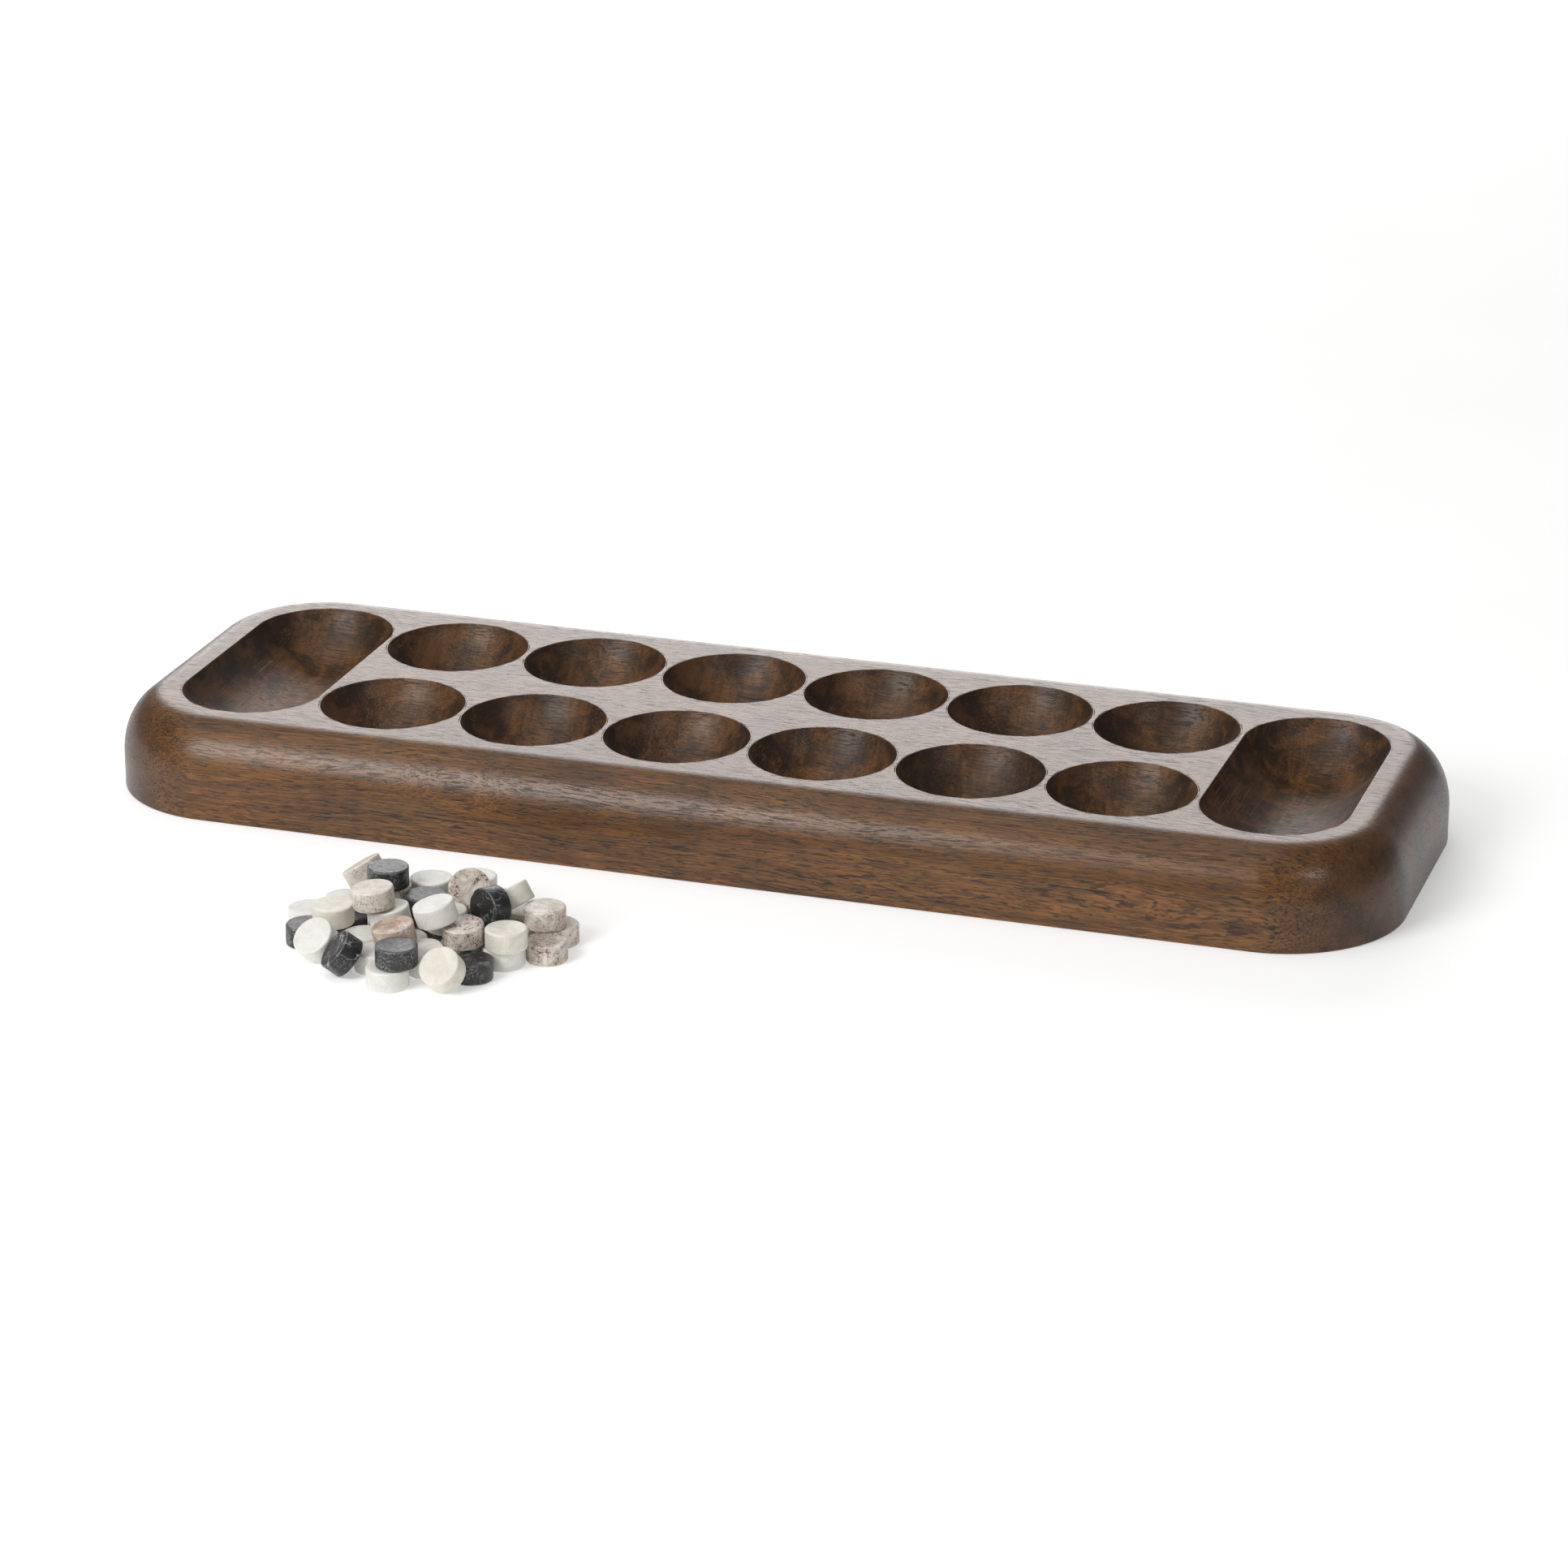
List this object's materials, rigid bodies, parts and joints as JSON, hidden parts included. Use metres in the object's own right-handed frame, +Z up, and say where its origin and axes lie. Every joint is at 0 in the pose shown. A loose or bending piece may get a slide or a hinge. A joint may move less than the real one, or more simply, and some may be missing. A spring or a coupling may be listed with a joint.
{
  "type": "mancala board",
  "caption": "Solid wooden mancala board with two rows of round pits, a long store at each end and a heap of small loose marble stones beside it.",
  "frame": {"origin": "centre of the plank's underside, on the table", "axes": "+X along the plank to the right-hand store, +Y from the front edge to the back edge, +Z up out of the pits"},
  "size_m": [0.519, 0.3084, 0.038],
  "materials": {
    "walnut": "satin lacquer",
    "marble_white": "tumbled, matt to satin",
    "marble_cream": "tumbled, matt to satin",
    "marble_beige": "tumbled, matt to satin",
    "marble_pink": "tumbled, matt to satin",
    "marble_grey": "tumbled, matt to satin",
    "marble_black": "tumbled, matt to satin"
  },
  "bodies": {
    "board": {"board": "walnut"},
    "heap_core": {"stone_05_beige": "marble_beige", "stone_14_beige": "marble_beige", "stone_15_cream": "marble_cream", "stone_18_white": "marble_white", "stone_21_white": "marble_white", "stone_27_white": "marble_white", "stone_30_white": "marble_white", "stone_31_white": "marble_white", "stone_39_white": "marble_white", "stone_40_grey": "marble_grey", "stone_41_black": "marble_black", "stone_42_black": "marble_black", "stone_43_white": "marble_white", "stone_44_beige": "marble_beige", "stone_45_white": "marble_white", "stone_46_white": "marble_white", "stone_47_beige": "marble_beige", "stone_48_white": "marble_white"},
    "stone_01": {"stone_01_grey": "marble_grey"},
    "stone_02": {"stone_02_beige": "marble_beige"},
    "stone_03": {"stone_03_white": "marble_white"},
    "stone_04": {"stone_04_beige": "marble_beige"},
    "stone_06": {"stone_06_white": "marble_white"},
    "stone_07": {"stone_07_black": "marble_black"},
    "stone_08": {"stone_08_beige": "marble_beige"},
    "stone_09": {"stone_09_white": "marble_white"},
    "stone_10": {"stone_10_black": "marble_black"},
    "stone_11": {"stone_11_cream": "marble_cream"},
    "stone_12": {"stone_12_beige": "marble_beige"},
    "stone_13": {"stone_13_cream": "marble_cream"},
    "stone_16": {"stone_16_grey": "marble_grey"},
    "stone_17": {"stone_17_pink": "marble_pink"},
    "stone_19": {"stone_19_cream": "marble_cream"},
    "stone_20": {"stone_20_cream": "marble_cream"},
    "stone_22": {"stone_22_white": "marble_white"},
    "stone_23": {"stone_23_black": "marble_black"},
    "stone_24": {"stone_24_white": "marble_white"},
    "stone_25": {"stone_25_beige": "marble_beige"},
    "stone_26": {"stone_26_beige": "marble_beige"},
    "stone_28": {"stone_28_black": "marble_black"},
    "stone_29": {"stone_29_white": "marble_white"},
    "stone_32": {"stone_32_grey": "marble_grey"},
    "stone_33": {"stone_33_white": "marble_white"},
    "stone_34": {"stone_34_white": "marble_white"},
    "stone_35": {"stone_35_beige": "marble_beige"},
    "stone_36": {"stone_36_white": "marble_white"},
    "stone_37": {"stone_37_white": "marble_white"},
    "stone_38": {"stone_38_white": "marble_white"}
  },
  "joints": [
    {"name": "heap_core_lift", "type": "slide", "parent": "board", "child": "heap_core", "axis": [0, 0, 1], "range_m": [0, 0.06]},
    {"name": "stone_01_lift", "type": "slide", "parent": "heap_core", "child": "stone_01", "axis": [0, 0, 1], "range_m": [0, 0.06]},
    {"name": "stone_02_lift", "type": "slide", "parent": "heap_core", "child": "stone_02", "axis": [0, 0, 1], "range_m": [0, 0.06]},
    {"name": "stone_03_lift", "type": "slide", "parent": "heap_core", "child": "stone_03", "axis": [0, 0, 1], "range_m": [0, 0.06]},
    {"name": "stone_04_lift", "type": "slide", "parent": "heap_core", "child": "stone_04", "axis": [0, 0, 1], "range_m": [0, 0.06]},
    {"name": "stone_06_lift", "type": "slide", "parent": "heap_core", "child": "stone_06", "axis": [0, 0, 1], "range_m": [0, 0.06]},
    {"name": "stone_07_lift", "type": "slide", "parent": "heap_core", "child": "stone_07", "axis": [0, 0, 1], "range_m": [0, 0.06]},
    {"name": "stone_08_lift", "type": "slide", "parent": "heap_core", "child": "stone_08", "axis": [0, 0, 1], "range_m": [0, 0.06]},
    {"name": "stone_09_lift", "type": "slide", "parent": "heap_core", "child": "stone_09", "axis": [0, 0, 1], "range_m": [0, 0.06]},
    {"name": "stone_10_lift", "type": "slide", "parent": "heap_core", "child": "stone_10", "axis": [0, 0, 1], "range_m": [0, 0.06]},
    {"name": "stone_11_lift", "type": "slide", "parent": "heap_core", "child": "stone_11", "axis": [0.1504, 0.0868, 0.9848], "range_m": [0, 0.03]},
    {"name": "stone_12_lift", "type": "slide", "parent": "heap_core", "child": "stone_12", "axis": [0.8067, 0.1422, 0.5736], "range_m": [0, 0.06]},
    {"name": "stone_13_lift", "type": "slide", "parent": "heap_core", "child": "stone_13", "axis": [0, 0, 1], "range_m": [0, 0.06]},
    {"name": "stone_16_lift", "type": "slide", "parent": "heap_core", "child": "stone_16", "axis": [0, 0, 1], "range_m": [0, 0.06]},
    {"name": "stone_17_lift", "type": "slide", "parent": "heap_core", "child": "stone_17", "axis": [-0.1116, -0.133, 0.9848], "range_m": [0, 0.03]},
    {"name": "stone_19_lift", "type": "slide", "parent": "heap_core", "child": "stone_19", "axis": [0, 0, 1], "range_m": [0, 0.06]},
    {"name": "stone_20_lift", "type": "slide", "parent": "board", "child": "stone_20", "axis": [0, 0, 1], "range_m": [0, 0.06]},
    {"name": "stone_22_lift", "type": "slide", "parent": "heap_core", "child": "stone_22", "axis": [0, 0, 1], "range_m": [0, 0.06]},
    {"name": "stone_23_lift", "type": "slide", "parent": "heap_core", "child": "stone_23", "axis": [-0.0594, -0.1632, 0.9848], "range_m": [0, 0.06]},
    {"name": "stone_24_slide", "type": "slide", "parent": "board", "child": "stone_24", "axis": [0.766, 0.6428, 0], "range_m": [0, 0.03]},
    {"name": "stone_25_slide", "type": "slide", "parent": "board", "child": "stone_25", "axis": [0.9397, 0.342, 0], "range_m": [0, 0.03]},
    {"name": "stone_26_slide", "type": "slide", "parent": "board", "child": "stone_26", "axis": [1, 0, 0], "range_m": [0, 0.03]},
    {"name": "stone_28_slide", "type": "slide", "parent": "board", "child": "stone_28", "axis": [0.9397, -0.342, 0], "range_m": [0, 0.03]},
    {"name": "stone_29_slide", "type": "slide", "parent": "board", "child": "stone_29", "axis": [0.1736, -0.9848, 0], "range_m": [0, 0.03]},
    {"name": "stone_32_slide", "type": "slide", "parent": "board", "child": "stone_32", "axis": [-0.9397, -0.342, 0], "range_m": [0, 0.03]},
    {"name": "stone_33_lift", "type": "slide", "parent": "board", "child": "stone_33", "axis": [0, 0, 1], "range_m": [0, 0.06]},
    {"name": "stone_34_slide", "type": "slide", "parent": "board", "child": "stone_34", "axis": [-0.866, 0.5, 0], "range_m": [0, 0.03]},
    {"name": "stone_35_lift", "type": "slide", "parent": "board", "child": "stone_35", "axis": [0.1228, 0.6964, 0.7071], "range_m": [0, 0.06]},
    {"name": "stone_36_lift", "type": "slide", "parent": "board", "child": "stone_36", "axis": [0, 0, 1], "range_m": [0, 0.06]},
    {"name": "stone_37_slide", "type": "slide", "parent": "board", "child": "stone_37", "axis": [0, 1, 0], "range_m": [0, 0.03]},
    {"name": "stone_38_slide", "type": "slide", "parent": "board", "child": "stone_38", "axis": [0.5, 0.866, 0], "range_m": [0, 0.03]}
  ]
}
